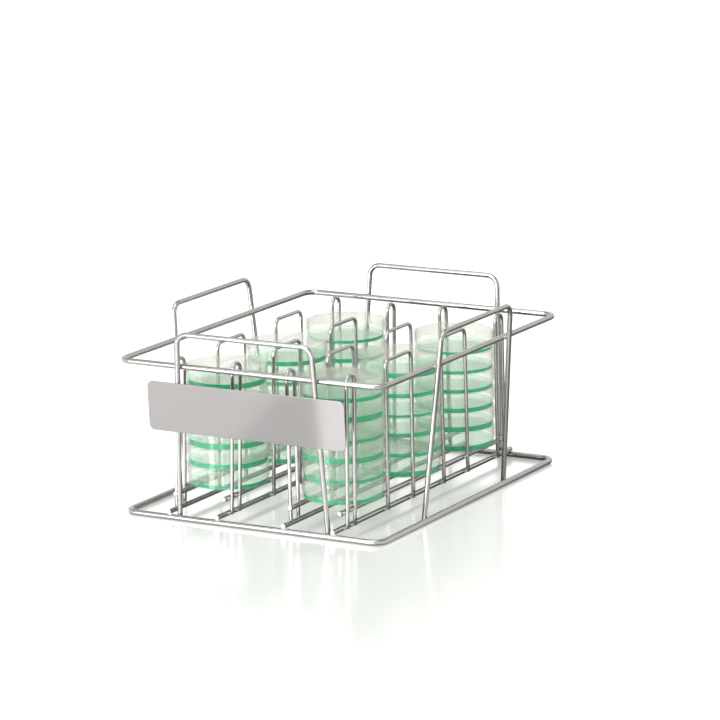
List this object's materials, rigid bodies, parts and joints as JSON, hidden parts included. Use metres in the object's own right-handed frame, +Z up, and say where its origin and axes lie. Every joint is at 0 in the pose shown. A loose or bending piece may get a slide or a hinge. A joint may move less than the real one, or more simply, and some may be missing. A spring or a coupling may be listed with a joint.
{
  "type": "petri dish rack",
  "caption": "Welded steel wire rack with leaning carrying hoops, floor rails and thin guide loops that hold stacks of small closed petri dishes, and a bare nameplate.",
  "frame": {"origin": "centre of the base ring's footprint, on the bench", "axes": "+X to the right along the nameplate, +Y from the front towards the back, +Z up"},
  "size_m": [0.2084, 0.2644, 0.1274],
  "materials": {
    "wire_steel": "electropolished satin",
    "plate_steel": "satin",
    "clear_plastic": "clear gloss",
    "agar_gel": "moist gel"
  },
  "bodies": {
    "root": {"base_ring": "wire_steel", "upper_ring": "wire_steel", "front_hoop": "wire_steel", "back_hoop": "wire_steel", "left_hoop": "wire_steel", "right_hoop": "wire_steel", "nameplate": "plate_steel", "lower_rail_1": "wire_steel", "lower_rail_2": "wire_steel", "lower_rail_3": "wire_steel", "lower_rail_4": "wire_steel", "upper_rail_1": "wire_steel", "upper_rail_2": "wire_steel", "upper_rail_3": "wire_steel", "upper_rail_4": "wire_steel", "front_end_guide_1": "wire_steel", "front_end_guide_2": "wire_steel", "front_end_guide_3": "wire_steel", "front_end_guide_4": "wire_steel", "front_row_guide_1": "wire_steel", "front_row_guide_2": "wire_steel", "front_row_guide_3": "wire_steel", "front_row_guide_4": "wire_steel", "back_row_guide_1": "wire_steel", "back_row_guide_2": "wire_steel", "back_row_guide_3": "wire_steel", "back_row_guide_4": "wire_steel", "back_end_guide_1": "wire_steel", "back_end_guide_2": "wire_steel", "back_end_guide_3": "wire_steel", "back_end_guide_4": "wire_steel", "front_left_dish_bases": "clear_plastic", "front_right_dish_bases": "clear_plastic", "middle_left_dish_bases": "clear_plastic", "middle_right_dish_bases": "clear_plastic", "back_left_dish_bases": "clear_plastic", "back_right_dish_bases": "clear_plastic", "front_left_dish_lids": "clear_plastic", "front_right_dish_lids": "clear_plastic", "middle_left_dish_lids": "clear_plastic", "middle_right_dish_lids": "clear_plastic", "back_left_dish_lids": "clear_plastic", "back_right_dish_lids": "clear_plastic", "front_left_agar": "agar_gel", "front_right_agar": "agar_gel", "middle_left_agar": "agar_gel", "middle_right_agar": "agar_gel", "back_left_agar": "agar_gel", "back_right_agar": "agar_gel"}
  },
  "joints": []
}
